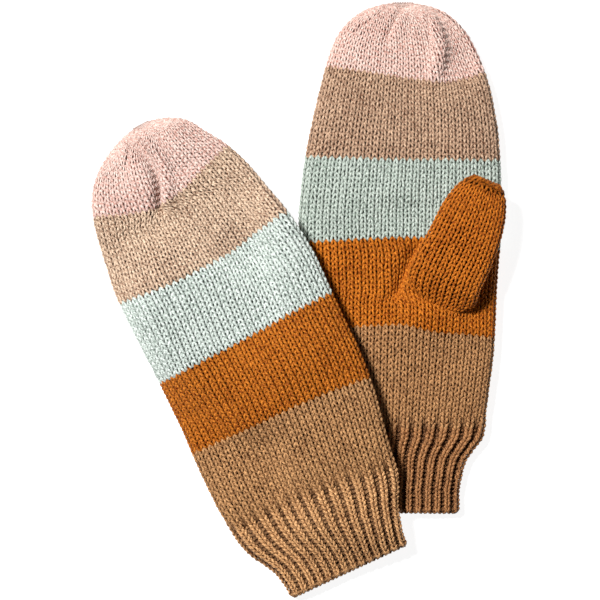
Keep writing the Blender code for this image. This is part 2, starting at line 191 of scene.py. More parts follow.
# Where the colour changes, as distance from the cuff's edge, at places across the hand.
RIGHT_CHANGES = (((-50, 43.7), (50, 43.7)),
                 ((-50, 95.0), (-21.8, 96.7), (0, 97.6), (21.3, 93.6), (38, 92.4), (50.4, 90.5)),
                 ((-51, 139.9), (-20, 141.5), (7.3, 142.6), (30, 140.0), (54, 136.2)),
                 ((-49.4, 184.6), (1, 183.0), (53, 182.5)),
                 ((-36.4, 231.0), (-9.4, 227.2), (10, 224.2), (21.8, 222.8), (33, 224.5), (46.3, 228.8)))
LEFT_CHANGES = (((-42.8, 44.4), (-10.5, 45.6), (19.3, 43.0), (45, 39.5)),
                ((-43.9, 90.2), (-19.5, 90.0), (6.8, 90.2), (28.4, 89.6), (54, 87.0)),
                ((-42.8, 130.2), (-17.4, 131.2), (8.1, 132.2), (38.6, 134.1), (56.7, 134.6)),
                ((-43.4, 176.0), (-15.7, 173.9), (11.8, 174.9), (34.9, 179.4), (50.2, 181.5)),
                ((-38.2, 222.6), (-22, 216.5), (-7.3, 213.2), (5, 214.6), (20.7, 219.8), (40.3, 226.0)))
BAND_ROWS = {"right": (20, 18, 17, 16, 15, 17), "left": (18, 16, 17, 16, 15, 17)}     # cuff, camel, mustard, mint, rose, crown


def smoothstep(v):
    v = np.clip(v, 0.0, 1.0)
    return v * v * (3 - 2 * v)


def steady_curve(xs, ys):
    xs, ys = np.array(xs, float), np.array(ys, float)
    h = np.diff(xs)
    d = np.diff(ys) / h
    m = np.zeros(len(xs))
    m[0], m[-1] = d[0], d[-1]
    for i in range(1, len(xs) - 1):
        if d[i - 1] * d[i] > 0:
            w1, w2 = 2 * h[i] + h[i - 1], h[i] + 2 * h[i - 1]
            m[i] = (w1 + w2) / (w1 / d[i - 1] + w2 / d[i])

    def at(x):
        x = np.clip(x, xs[0], xs[-1])
        i = np.clip(np.searchsorted(xs, x) - 1, 0, len(h) - 1)
        t = (x - xs[i]) / h[i]
        return (ys[i] * (1 + 2 * t) * (1 - t) ** 2 + h[i] * m[i] * t * (1 - t) ** 2
                + ys[i + 1] * t * t * (3 - 2 * t) + h[i] * m[i + 1] * t * t * (t - 1))

    return at


class Mitten:
    def __init__(self, outline, origin, turn_deg, thickness):
        self.tip = outline[-1][0]
        self.origin = origin
        self.cos, self.sin = math.cos(math.radians(turn_deg)), math.sin(math.radians(turn_deg))
        roots = [math.sqrt(self.tip - s) for s, _, _ in outline][::-1]
        self._left = steady_curve(roots, [l for _, l, _ in outline][::-1])
        self._right = steady_curve(roots, [r for _, _, r in outline][::-1])
        self._thick = steady_curve([s for s, _ in THICKNESS], [k * thickness for _, k in THICKNESS])
        self.over = self.under = None
        self.puff = 0.0

    def world(self, t, s):
        return (self.origin[0] + t * self.cos - s * self.sin, self.origin[1] + t * self.sin + s * self.cos)

    def local(self, x, y):
        dx, dy = x - self.origin[0], y - self.origin[1]
        return dx * self.cos + dy * self.sin, -dx * self.sin + dy * self.cos

    def edges(self, s, inset=0.0):
        q = np.sqrt(np.maximum(self.tip - inset - s, 0.0))
        soft = 1 - np.exp(-q / 1.2)
        return (self._left(q) + inset * soft, self._right(q) - inset * soft,
                self._thick(s) * (1 - np.exp(-q / 2.2)) - 2 * inset * soft)

    def pressed(self, x, y):
        if self.over is None:
            return np.ones_like(x)
        t, s = self.over.local(x, y)
        left, right, _ = self.over.edges(np.clip(s, 0, self.over.tip))
        deep = np.minimum(np.minimum(right - t, t - left), s + 6)
        return 1 - PRESS * smoothstep((deep + 3) / 18.0)

    def rest_height(self, x, y):
        return self.under(x, y) if self.under else np.zeros_like(x)

    def top(self, x, y):
        t, s = self.local(x, y)
        inside = (s > 0) & (s < self.tip)
        left, right, thick = self.edges(np.clip(s, 0, self.tip - 1e-6))
        c, a = (left + right) / 2, np.maximum((right - left) / 2, 1e-6)
        tau = np.clip(np.abs(t - c) / a, 0, 1)
        inside = inside & (np.abs(t - c) < a)
        z = thick * self.pressed(x, y) / 2 * (1 + (1 - tau ** EDGE_N) ** (1 / EDGE_M))
        return np.where(inside, z, 0.0)

    def section(self, s, n, inset):
        """n places at equal distances round the upper half of a section, then n round the lower: t and z."""
        left, right, thick = self.edges(np.array(max(s, 0.0)), inset)
        c, a = float(left + right) / 2, float(right - left) / 2
        dense = np.linspace(0, 2 * math.pi, 721)
        ca, sa = np.cos(dense), np.sin(dense)
        t = c + a * np.sign(ca) * np.abs(ca) ** (2 / EDGE_N)
        up = np.sign(sa) * np.abs(sa) ** (2 / EDGE_M)
        up = np.where(sa < 0, -np.minimum(1.0, -1.12 * up), up)
        ts, zs = [], []
        for half in (slice(0, 361), slice(360, 721)):
            th, uh = t[half], up[half]
            run = np.concatenate([[0], np.cumsum(np.hypot(np.diff(th), np.diff(uh * float(thick) / 2)))])
            at = np.linspace(0, run[-1], n, endpoint=False)
            ts.append(np.interp(at, run, th))
            zs.append(np.interp(at, run, uh))
        return np.concatenate(ts), np.concatenate(zs), float(thick)


class Drape:
    def __init__(self, obstacle, low=(-130.0, -180.0), high=(130.0, 180.0), step=2.0, reach=DRAPE):
        self.low, self.step = low, step
        gx, gy = np.meshgrid(np.arange(low[0], high[0] + step, step), np.arange(low[1], high[1] + step, step), indexing="ij")
        h = self.around(obstacle(gx, gy), reach, np.max)
        for _ in range(2):
            h = self.around(h, reach / 2, np.mean)
        self.h = h

    def around(self, h, radius, how):
        k = int(radius / self.step)
        near = [(i, j) for i in range(-k, k + 1) for j in range(-k, k + 1) if i * i + j * j <= (radius / self.step) ** 2]
        pad = np.pad(h, k, mode="edge")
        n, m = h.shape
        return how([pad[k + i:k + i + n, k + j:k + j + m] for i, j in near], axis=0)

    def __call__(self, x, y):
        fx, fy = (np.asarray(x) - self.low[0]) / self.step, (np.asarray(y) - self.low[1]) / self.step
        i = np.clip(np.floor(fx).astype(int), 0, self.h.shape[0] - 2)
        j = np.clip(np.floor(fy).astype(int), 0, self.h.shape[1] - 2)
        u, v = np.clip(fx - i, 0, 1), np.clip(fy - j, 0, 1)
        return (self.h[i, j] * (1 - u) * (1 - v) + self.h[i + 1, j] * u * (1 - v)
                + self.h[i, j + 1] * (1 - u) * v + self.h[i + 1, j + 1] * u * v)


class Thumb:
    def __init__(self, heel, direction_deg, length, thick, surface, side):
        self.heel, self.length, self.thick, self.surface, self.side = heel, length, thick, surface, side
        a = math.radians(direction_deg)
        self.along = (-math.sin(a), math.cos(a))
        self.across = (math.cos(a), math.sin(a))
        self.bend = 2.6
        self.pivot = 2 * MOUTH_B + self.bend

    def world(self, d, w, h):
        x = self.heel[0] + d * self.along[0] + w * self.across[0]
        y = self.heel[1] + d * self.along[1] + w * self.across[1]
        return np.stack([x, y, self.surface(x, y) + self.side * h], axis=-1)

    def plan(self, x, y):
        dx, dy = x - self.heel[0], y - self.heel[1]
        return dx * self.along[0] + dy * self.along[1], dx * self.across[0] + dy * self.across[1]

    def width(self, d, inset=0.0):
        q = np.sqrt(np.maximum(self.length - inset - d, 0.0))
        soft = 1 - np.exp(-q / 1.0)
        b = MOUTH_A + (THUMB_B - MOUTH_A) * smoothstep((d - 12) / 22.0)
        b = b * (1 - 0.14 * smoothstep((d - 0.5 * self.length) / (0.5 * self.length)))
        return b * (1 - np.exp(-(q / 2.2) ** 1.3)) - inset * soft

    def height(self, d, inset=0.0):
        q = np.sqrt(np.maximum(self.length - inset - d, 0.0))
        return self.thick * (1 - np.exp(-q / 1.7)) - 2 * inset * (1 - np.exp(-q / 1.0))

    def footprint(self, x, y):
        d, w = self.plan(x, y)
        b = np.maximum(self.width(np.clip(d, 0, self.length)), 1e-6)
        inside = (d > -1) & (d < self.length) & (np.abs(w) < b)
        tall = self.bend + self.height(np.clip(d, 0, self.length)) + THUMB_AIR
        return np.where(inside, tall * (1 - (np.abs(w) / b).clip(0, 1) ** 3) ** 0.5, 0.0)


right = Mitten(RIGHT_OUTLINE, (51.93, -110.64), 0.0, HAND_T)
left = Mitten(LEFT_OUTLINE, (25.43, -141.64), 25.5, LEFT_T)
right.over = left
left.puff = 1.5          # its crown stands a little fuller on one side
on_right = Drape(lambda x, y: right.top(x, y), reach=6.0)
left_thumb = Thumb(left.world(10.5, 106.0), 51.5, 74.0, 8.2, None, -1)
left.under = Drape(lambda x, y: np.maximum(np.where(right.top(x, y) > 0, right.top(x, y) + CLEAR, 0.0),
                                           np.where(left_thumb.footprint(x, y) > 0,
                                                    on_right(x, y) + left_thumb.footprint(x, y) + CLEAR, 0.0)))
left_thumb.surface = left.under
palm = Drape(lambda x, y: np.maximum(right.top(x, y), 0.0), reach=7.0)
right_thumb = Thumb(right.world(17.0, 100.5), -21.5, 79.2, 11.5, palm, 1)


# ---------------------------------------------------------------- dents and folds of the cloth, on its upper side
def pleat(t, s, path, ends, dip, left_run, right_run, lip=0.0, lip_at=0.0, lip_width=3.0, fall=smoothstep):
    """A fold running up the cloth along path ((s, t), ...). It dips over left_run on its left and right_run on its
    right, beside a raised lip, between ends (start, its fade, end, its fade)."""
    d = t - steady_curve([a for a, _ in path], [b for _, b in path])(s)
    strength = smoothstep((s - ends[0]) / ends[1]) * smoothstep((ends[2] - s) / ends[3])
    valley = np.where(d < 0, fall(np.clip(1 + d / left_run, 0, 1)), smoothstep(1 - d / right_run))
    return strength * (lip * np.exp(-((d - lip_at) / lip_width) ** 2) - dip * valley)


def bump(t, s, at, size, height):
    return height * np.exp(-((t - at[0]) / size[0]) ** 2 - ((s - at[1]) / size[1]) ** 2)


def right_dents(t, s):
    z = pleat(t, s, ((222, 33.5), (230, 35.0), (240, 36.5), (250, 34.5), (258, 30.0), (263, 27.0)),
              (212, 24, 267, 12), 7.6, 14.0, 11.0, 2.0, -15.5, 3.4, lambda k: 1 - (1 - k) ** 1.6)
    z += pleat(t, s, ((246, -5.5), (256, -1.0), (263, 3.2)), (240, 9, 268, 6), 1.9, 3.2, 3.2, 0.8, 4.5, 2.5)
    z += pleat(t, s, ((244, 17.0), (256, 15.6), (264, 13.5)), (240, 10, 268, 6), 1.5, 2.6, 2.6)
    z += pleat(t, s, ((248, -22), (256, -12), (262, -4)), (244, 6, 267, 5), 1.0, 3.0, 3.0)
    z += bump(t, s, (9.5, 250), (4.0, 12), 0.9)
    # the crotch of the thumb pulls a crease into the palm, and the palm swells to meet the thumb's heel
    z += pleat(t, s, ((110, -1.5), (118, 2.0), (127, 5.2), (139, 10.5), (150, 15.5)), (106, 9, 146, 15), 5.4, 8.5, 3.5)
    z += bump(t, s, (18.5, 104), (18, 14), 5.2)
    z += bump(t, s, (38.5, 104), (5, 7), -1.5)
    z += bump(t, s, (18.5, 158), (9, 14), -1.6) + bump(t, s, (4.0, 157.5), (14, 5.0), -1.4)
    z += bump(t, s, (-12.0, 163), (15, 6), 0.9)
    z += 0.55 * np.sin(t / 9.3 + s / 31.0 + 0.8) * np.sin(s / 19.0 - t / 40.0)
    return z


def left_dents(t, s):
    z = pleat(t, s, ((212, -5.0), (227, 0.3), (234, 0.9), (249, -2.2), (255, -3.4)),
              (206, 8, 257, 13), 13.0, 7.0, 1.7, 2.8, 4.0, 3.0, lambda k: k ** 1.6)
    z += bump(t, s, (-9.5, 226), (7.5, 16), 2.6)
    z += pleat(t, s, ((238, -12), (249, -6.0), (254, -4)), (234, 8, 257, 5), 1.2, 2.6, 2.6)
    z += bump(t, s, (15.0, 225), (10, 6), -1.5)
    z += bump(t, s, (-16, 204), (14, 6), -1.3)
    z += 0.6 * np.sin(t / 11.0 - s / 27.0 + 0.3) * np.sin(s / 23.0 + t / 33.0)
    return z


# ---------------------------------------------------------------- surfaces the yarn lies on
class Sheet:
    """A tube of cloth as a grid: rows of stitches up, and once round across. Any place on it gives a point and a normal."""

    def __init__(self, points, row0, row_step):
        self.p, self.row0, self.step = points, row0, row_step
        self.refresh()

    def refresh(self):
        p = self.p
        du = np.roll(p, -1, axis=1) - np.roll(p, 1, axis=1)
        dv = np.gradient(p, axis=0)
        n = np.cross(dv, du)
        n /= np.maximum(np.linalg.norm(n, axis=-1, keepdims=True), 1e-9)
        self.n = n
        self.round = np.linalg.norm(du, axis=-1, keepdims=True) / 2 * p.shape[1]

    def at(self, u, v):
        rows, cols = self.p.shape[:2]
        fi = np.clip((v - self.row0) / self.step, 0, rows - 1.0001)
        fj = (u % 1.0) * cols
        i, j = np.floor(fi).astype(int), np.floor(fj).astype(int) % cols
        a, b = (fi - i)[..., None], (fj - np.floor(fj))[..., None]
        j2 = (j + 1) % cols
        mix = lambda g: (g[i, j] * (1 - a) * (1 - b) + g[i + 1, j] * a * (1 - b)
                         + g[i, j2] * (1 - a) * b + g[i + 1, j2] * a * b)
        n = mix(self.n)
        return mix(self.p), n / np.maximum(np.linalg.norm(n, axis=-1, keepdims=True), 1e-9), mix(self.round)[..., 0]


HALF = 168
FIBRES = 1000         # loose fibres on each band


def hand_sheet(m, band_rows, changes, dents):
    top_s = m.tip - INSET
    s_grid = np.concatenate([np.arange(-6.0, top_s - 16.0, 1.0), top_s - np.linspace(4.0, 0.55, 34) ** 2])
    cols = [m.section(s, HALF, INSET) for s in s_grid]
    t = np.array([c[0] for c in cols])
    up = np.array([c[1] for c in cols])
    thick = np.array([c[2] for c in cols])[:, None]
    s = np.repeat(s_grid[:, None], t.shape[1], axis=1)
    x, y = m.world(t, s)
    full = (thick + 2 * INSET) * m.pressed(x, y) - 2 * INSET
    puff = m.puff * np.exp(-((t - 14) / 17) ** 2 - ((s - 247) / 14) ** 2)
    x, y = m.world(t + puff, s + 0.8 * puff)
    z = INSET + np.maximum(full, 0.3) / 2 * (1 + up)
    upper = smoothstep((up + 0.15) / 0.9)
    dent = dents(t, s) * upper * smoothstep((full - 1.5) / 5.0)
    room = np.maximum(np.maximum(full, 0.3) / 2 * (1 + up) - 4.6, 0.3)      # the two layers of cloth never pass through
    dent = np.where(dent < 0, -room * np.tanh(-dent / room), dent)
    z = z + dent + m.rest_height(x, y)
    flat = np.stack([x, y, z], axis=-1)

    # the stitches keep an even width over the folds of the upper side
    for i in range(len(s_grid)):
        arc = flat[i, :HALF + 1].copy()
        run = np.concatenate([[0], np.cumsum(np.linalg.norm(np.diff(arc, axis=0), axis=1))])
        even = np.linspace(0, run[-1], HALF + 1)
        t[i, :HALF + 1] = np.interp(even, run, t[i, :HALF + 1])
        for k in range(3):
            flat[i, :HALF + 1, k] = np.interp(even, run, arc[:, k])

    # rows: straight lines of stitches between the colour changes, and evenly up each column in the crown
    row_of = np.concatenate([[0], np.cumsum(band_rows)])
    steps = 4
    v_grid = np.arange(-1.5, row_of[-1] + 1e-6, 1.0 / steps)
    out = np.zeros((len(v_grid), 2 * HALF, 3))
    mids = [np.mean([c[1] for c in ch]) for ch in changes]
    for j in range(2 * HALF):
        at_change = []
        for ch, mid in zip(changes, mids):
            tt = np.interp(mid, s_grid, t[:, j])
            at_change.append(float(steady_curve([c[0] for c in ch], [c[1] for c in ch])(tt)))
        column = flat[:, j]
        run = np.concatenate([[0], np.cumsum(np.linalg.norm(np.diff(column, axis=0), axis=1))])
        base = np.interp(at_change[-1], s_grid, run)
        f = np.clip((v_grid - row_of[-2]) / (row_of[-1] - 1.7 - row_of[-2]), 0, 1)
        crown_s = np.interp(base + (run[-1] - base) * f, run, s_grid)
        body_s = np.interp(v_grid, row_of[:-1], [1.3] + at_change)
        body_s = np.where(v_grid < 0, 1.3 + v_grid * ROW, body_s)
        s_row = np.where(v_grid > row_of[-2], crown_s, body_s)
        for k in range(3):
            out[:, j, k] = np.interp(s_row, s_grid, column[:, k])
    return Sheet(out, -1.5, 1.0 / steps), row_of


SPREAD = lambda k: float(smoothstep((k - 0.15) / 0.85))


def thumb_sheet(th, sunk):
    """The thumb's tube: it fans out of the palm round the crotch, then lies straight."""
    heel_back = 7.0 if th.side > 0 else 0.0
    n = 80
    f = np.linspace(0, 2 * np.pi, 1441)
    wide = np.sign(np.cos(f)) * np.abs(np.cos(f)) ** (2 / 2.5)
    tall = np.sign(np.sin(f)) * np.abs(np.sin(f)) ** (2 / 2.2)
    around = np.concatenate([[0], np.cumsum(np.hypot(np.diff(wide) * THUMB_B, np.diff(tall) * th.thick / 2))])
    spots = np.linspace(0, around[-1], n, endpoint=False)
    across, lift = np.interp(spots, around, wide), np.interp(spots, around, tall)
    rings = []
    inset = INSET - 0.2
    full = th.bend + float(th.height(th.pivot))
    d_line = np.linspace(-heel_back, th.pivot, 400)
    rise = full * smoothstep((d_line + heel_back) / (th.pivot + heel_back)) ** 1.2
    for k in np.linspace(0, 1, 18):
        turn = math.pi / 2 * k
        if k < 1:      # where a line from the crotch meets the rising back of the thumb
            hit = np.argmax(rise >= (th.pivot - d_line) * math.tan(turn))
            reach = float(th.pivot - d_line[hit]) / math.cos(turn)
        else:
            reach = full
        low = min(th.bend, reach * 0.3)
        mid, half = (low + reach) / 2, max((reach - low) / 2 - inset, 0.5)
        r = mid + half * lift
        w = (MOUTH_A + 1.0 - inset) * (0.62 + 0.38 * float(smoothstep(2.2 * k))) * across
        w = w * (1 + 0.06 * SPREAD(k)) - 1.5 * SPREAD(k) * (th.side > 0)
        rings.append(th.world(th.pivot - r * math.cos(turn), w, r * math.sin(turn) - sunk * math.cos(turn) + THUMB_AIR * 0.4))
    last = th.length - inset
    ds = np.concatenate([np.linspace(th.pivot + 1.0, last - 12.0, 30), last - np.linspace(math.sqrt(11.0), 0.6, 16) ** 2])
    for d in ds:
        half = float(th.height(d, inset)) / 2
        mid = th.bend + float(th.height(th.pivot)) / 2 - (float(th.height(th.pivot)) - float(th.height(d))) / 2 * 0.6
        near = float(1 - smoothstep((d - th.pivot) / 26.0))
        w = float(th.width(d, inset)) * (1 + 0.06 * float(smoothstep((d / th.length - 0.5) / 0.35)) + 0.06 * near) * across
        rings.append(th.world(d, w - 1.5 * near * (th.side > 0), mid + half * lift + THUMB_AIR * 0.4))
    rings = np.array(rings)
    run = np.concatenate([np.zeros((1, n)), np.cumsum(np.linalg.norm(np.diff(rings, axis=0), axis=2), axis=0)])
    mean = 0.75 * run[:, n // 4] + 0.25 * run.mean(axis=1)
    rows = int(round(mean[-1] / THUMB_ROW))
    # the same share of each column per row, weighted half to the average so rows stay level on the straight part
    v_grid = np.arange(0, rows + 1e-6, 0.25)
    out = np.zeros((len(v_grid), n, 3))
    for j in range(n):
        for k in range(3):
            out[:, j, k] = np.interp(v_grid / rows * mean[-1], mean, rings[:, j, k])
    sheet = Sheet(out, 0.0, 0.25)
    if th.side < 0:      # the frame is mirrored, so keep the normals facing out
        sheet.p = sheet.p[:, ::-1]
        sheet.refresh()
    return sheet, rows


# ---------------------------------------------------------------- yarn
def tube(name, paths, normals, radius, mat, label, rise):
    """Closed tubes along closed paths: paths is rows x points x 3."""
    rows, count = paths.shape[:2]
    tangent = np.roll(paths, -1, axis=1) - np.roll(paths, 1, axis=1)
    tangent /= np.linalg.norm(tangent, axis=-1, keepdims=True)
    side = np.cross(tangent, normals)
    side /= np.maximum(np.linalg.norm(side, axis=-1, keepdims=True), 1e-9)
    up = np.cross(side, tangent)
    a = 2 * np.pi * np.arange(ROUND) / ROUND
    ring = (up[:, :, None] * np.cos(a)[None, None, :, None] + side[:, :, None] * np.sin(a)[None, None, :, None])
    verts = (paths[:, :, None] + ring * radius[:, :, None, None]).reshape(-1, 3) * MM
    r, k, q = np.meshgrid(np.arange(rows), np.arange(count), np.arange(ROUND), indexing="ij")
    idx = lambda rr, kk, qq: (rr * count + kk % count) * ROUND + qq % ROUND
    quads = np.stack([idx(r, k, q), idx(r, k, q + 1), idx(r, k + 1, q + 1), idx(r, k + 1, q)], axis=-1).reshape(-1, 4)
    mesh = bpy.data.meshes.new(name)
    mesh.vertices.add(len(verts))
    mesh.vertices.foreach_set("co", verts.astype(np.float32).ravel())
    mesh.loops.add(quads.size)
    mesh.loops.foreach_set("vertex_index", quads.astype(np.int32).ravel())
    mesh.polygons.add(len(quads))
    mesh.polygons.foreach_set("loop_start", np.arange(0, quads.size, 4, dtype=np.int32))
    mesh.polygons.foreach_set("loop_total", np.full(len(quads), 4, dtype=np.int32))
    mesh.update(calc_edges=True)
    mesh.polygons.foreach_set("use_smooth", np.ones(len(quads), dtype=bool))
    uv = mesh.uv_layers.new(name="OFBake")
    uu = np.stack([k, k, k + 1, k + 1], axis=-1) / count
    vv = (r[..., None] + 0.05 + 0.9 * np.stack([q, q + 1, q + 1, q], axis=-1) / ROUND) / rows
    uv.data.foreach_set("uv", np.stack([uu, vv], axis=-1).astype(np.float32).ravel())
    # painted shade: rise is high on top of each yarn and low round its sides and underside, shifted by the shade level
    # passed in, and the yarn material darkens the colour where it is low
    high = 0.5 + 0.27 * np.cos(a)[None, None, :] + 0.23 * rise[:, :, None]
    mesh.attributes.new("rise", "FLOAT", "POINT").data.foreach_set("value", high.astype(np.float32).ravel())
    mesh.materials.append(mat)
    obj = bpy.data.objects.new(name, mesh)
    bpy.context.scene.collection.objects.link(obj)
    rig.slot(obj, label)
    return obj


def loops(wales, steps):
    """One row of loops: place along the row in stitches, height in rows, depth, and the stitch each point belongs to."""
    t = 2 * np.pi * np.arange(steps) / steps
    j = np.repeat(np.arange(wales), steps)
    tt = np.tile(t, wales)
    x = j + tt / (2 * np.pi) + LOOP_SWAY * np.sin(2 * tt) + LOOP_CLOSE * np.sin(tt)
    wave = np.cos(2 * tt)
    return j, tt, x, -LOOP_RISE * np.cos(tt), -np.sign(wave) * np.abs(wave) ** 0.75


def knit(name, sheet, rows, wales_of, mat, label, scale=1.0, rib=None, turns=0.0):
    """Rows of stitches on a sheet. rib(v) says how ribbed the cloth is at row v, 0 to 1, and whether it alternates."""
    groups = {}
    phase = rng.uniform(0, 6, 3)
    for v in rows:
        groups.setdefault(wales_of(v), []).append(v)
    objs = []
    for wales, vs in groups.items():
        j, tt, x, y, dep = loops(wales, STEPS)
        paths, normals, radii, painted_shade_and_tone = [], [], [], []
        for v in vs:
            jitter = rng.normal(0, 1, (4, wales))[:, j] * np.sin(tt / 2) ** 2
            ribbed, alternates = rib(v) if rib else (0.0, False)
            slow = np.sin(j / 3.7 + v * 0.9 + phase[0]) * np.sin(j / 9.1 - v / 2.3 + phase[1])
            xx = x + 0.05 * jitter[0] + 0.03 * slow
            yy = v + 0.5 + y + 0.09 * jitter[1] + 0.06 * np.sin(j / 5.3 - v / 1.7 + phase[2])
            z = dep * LOOP_DEPTH * scale
            if ribbed > 0:
                wave = np.cos(np.pi * (xx - 0.5))
                heads = np.abs(tt - np.pi) < np.pi / 4      # the next row sets how this row's heads lie
                z = z * np.where(np.where(heads, rib(v + 1)[1], alternates), np.clip(wave * 4, -1, 1), 1.0)
                z = z + RIB_STEP * ribbed * (np.clip(wave * 1.6, -1, 1) - 0.55)
                share = 0.5 + 0.10 * ribbed
                pair = np.floor(xx / 2)
                part = xx - 2 * pair
                xx = 2 * pair + np.where(part < 1, part * 2 * share, 2 * share + (part - 1) * 2 * (1 - share)) - (share - 0.5)
            p, n, full_turn = sheet.at(xx / wales + turns, yy)
            pitch = full_turn / wales
            paths.append(p + n * (z + 0.08 * jitter[2])[:, None])
            normals.append(n)
            radii.append(YARN * scale * (1 + 0.09 * jitter[3] + 0.2 * ribbed) * np.clip(pitch / 3.1, 0.66, 1.06))
            # painted shade and tone: points sunk deeper in the cloth and in the rib gutters get lower values, so a
            # darker colour; the random part gives each stitch its own tone
            painted_shade_and_tone.append(np.clip(z / LOOP_DEPTH / scale + 0.25 * ribbed + 0.22 * jitter[0], -1.2, 1.2))
        paths, normals, radii = np.array(paths), np.array(normals), np.array(radii)
        objs.append(tube(name, paths, normals, radii, mat, label, np.array(painted_shade_and_tone)))
    if len(objs) > 1:
        for o in bpy.context.selected_objects:
            o.select_set(False)
        for i, o in enumerate(objs):      # side by side in the texture
            layer = o.data.uv_layers["OFBake"].data
            data = np.zeros(len(layer) * 2, dtype=np.float32)
            layer.foreach_get("uv", data)
            data = data.reshape(-1, 2)
            data[:, 1] = (i + data[:, 1]) / len(objs)
            layer.foreach_set("uv", data.ravel())
            o.select_set(True)
        bpy.context.view_layer.objects.active = objs[0]
        bpy.ops.object.join()
    objs[0].name = name
    return objs[0]


def backing(name, sheet, v0, v1, mat, label, ribbed=lambda v: 0.0):
    """The felted inner face of the cloth, behind the loops: a thin sleeve that closes the holes between stitches, and
    with its darkened colour it is painted shade seen through them.
    """
    cols = 96
    vs = np.linspace(v0, v1, int((v1 - v0) * 2) + 1)
    u = np.arange(cols) / cols
    rings = []
    for depth, order in ((BACK, vs), (BACK + 0.35, vs[::-1])):
        for v in order:
            p, n, full_turn = sheet.at(u, np.full(cols, v))
            rings.append(p - n * ((depth + 1.5 * ribbed(v)) * np.clip(full_turn / WALES / 3.3, 0.3, 1))[:, None])
    verts = np.array(rings).reshape(-1, 3) * MM
    count = len(rings)
    faces = [(i * cols + k, i * cols + (k + 1) % cols, (i + 1) % count * cols + (k + 1) % cols, (i + 1) % count * cols + k)
             for i in range(count) for k in range(cols)]
    mesh = bpy.data.meshes.new(name)
    mesh.from_pydata([tuple(v) for v in verts], [], faces)
    mesh.shade_smooth()
    mesh.materials.append(mat)
    obj = bpy.data.objects.new(name, mesh)
    bpy.context.scene.collection.objects.link(obj)
    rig.slot(obj, label)
    return obj


def fuzz(name, sheet, v0, v1, count, mat, label):
    """Loose fibres that stand off the yarn: thin curved spindles, closed at both ends."""
    u, v = rng.uniform(0, 1, count), rng.uniform(v0, v1, count)
    p, n, _ = sheet.at(u, v)
    across = rng.normal(0, 1, (2, count, 3))
    across -= n * np.sum(across * n, axis=-1, keepdims=True)
    across /= np.linalg.norm(across, axis=-1, keepdims=True)
    lean = rng.uniform(0.1, 0.6, count)[:, None]
    way = n * lean + across[0] * (1 - lean)
    size = rng.uniform(1.2, 3.4, count)[:, None]
    root = p + n * 1.1
    at = lambda k: root + way * size * k + across[1] * size * 0.5 * k * k - n * size * 0.25 * k * k
    third = np.cross(way, across[1])
    third /= np.maximum(np.linalg.norm(third, axis=-1, keepdims=True), 1e-9)
    ring = [at(0.0)]
    for k, r in ((0.1, 0.05), (0.5, 0.045), (0.85, 0.03)):
        for q in range(3):
            ring.append(at(k) + r * (n * math.cos(2.094 * q) + third * math.sin(2.094 * q)))
    ring.append(at(1.0))
    verts = np.stack(ring, axis=1).reshape(-1, 3) * MM
    faces = [(0, 1 + (q + 1) % 3, 1 + q) for q in range(3)]
    for g in (1, 4):
        for q in range(3):
            a, b = g + q, g + (q + 1) % 3
            faces += [(a, b, b + 3), (a, b + 3, a + 3)]
    faces += [(7 + q, 7 + (q + 1) % 3, 10) for q in range(3)]
    tri = (np.arange(count)[:, None, None] * 11 + np.array(faces)[None]).reshape(-1, 3)
    mesh = bpy.data.meshes.new(name)
    mesh.vertices.add(len(verts))
    mesh.vertices.foreach_set("co", verts.astype(np.float32).ravel())
    mesh.loops.add(tri.size)
    mesh.loops.foreach_set("vertex_index", tri.astype(np.int32).ravel())
    mesh.polygons.add(len(tri))
    mesh.polygons.foreach_set("loop_start", np.arange(0, tri.size, 3, dtype=np.int32))
    mesh.polygons.foreach_set("loop_total", np.full(len(tri), 3, dtype=np.int32))
    mesh.update(calc_edges=True)
    mesh.materials.append(mat)
    obj = bpy.data.objects.new(name, mesh)
    bpy.context.scene.collection.objects.link(obj)
    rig.slot(obj, label)
    return obj


